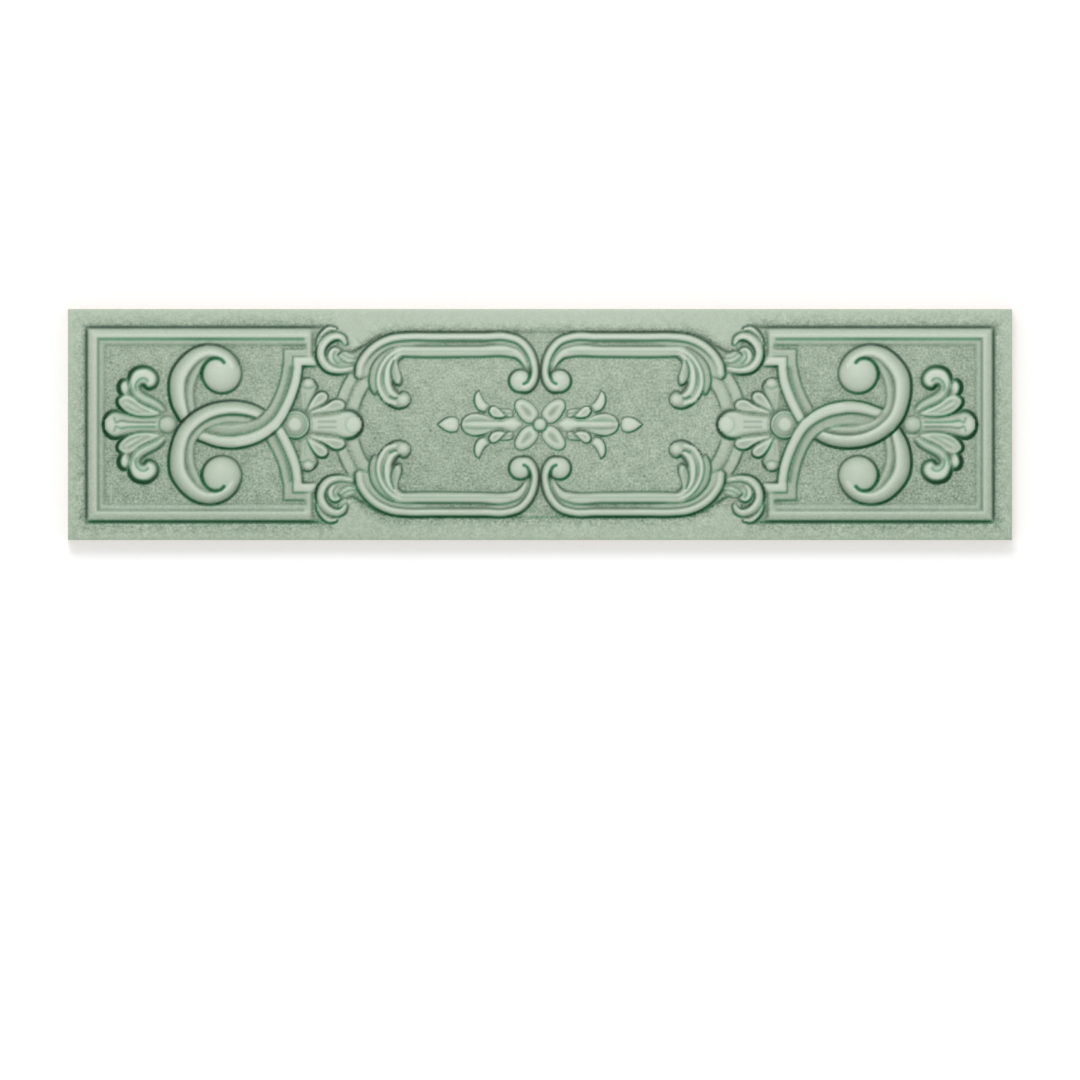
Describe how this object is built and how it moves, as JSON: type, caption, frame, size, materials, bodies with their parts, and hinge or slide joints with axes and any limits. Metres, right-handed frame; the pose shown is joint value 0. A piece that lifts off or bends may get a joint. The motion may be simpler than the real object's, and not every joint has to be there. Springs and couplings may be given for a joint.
{
  "type": "relief wall tile",
  "caption": "Oblong pressed ceramic wall tile with raised scroll, palmette and cartouche ornament under a celadon green glaze, and a keyed flat back for bedding on a wall.",
  "frame": {"origin": "middle of the back face, which lies on the floor", "axes": "+X along the tile, +Y across it towards its top edge, +Z out of its decorated face"},
  "size_m": [0.3, 0.0734, 0.01],
  "materials": {
    "glaze": "satin celadon glaze, darker in the hollows"
  },
  "bodies": {
    "root": {"tile": "glaze"}
  },
  "joints": []
}
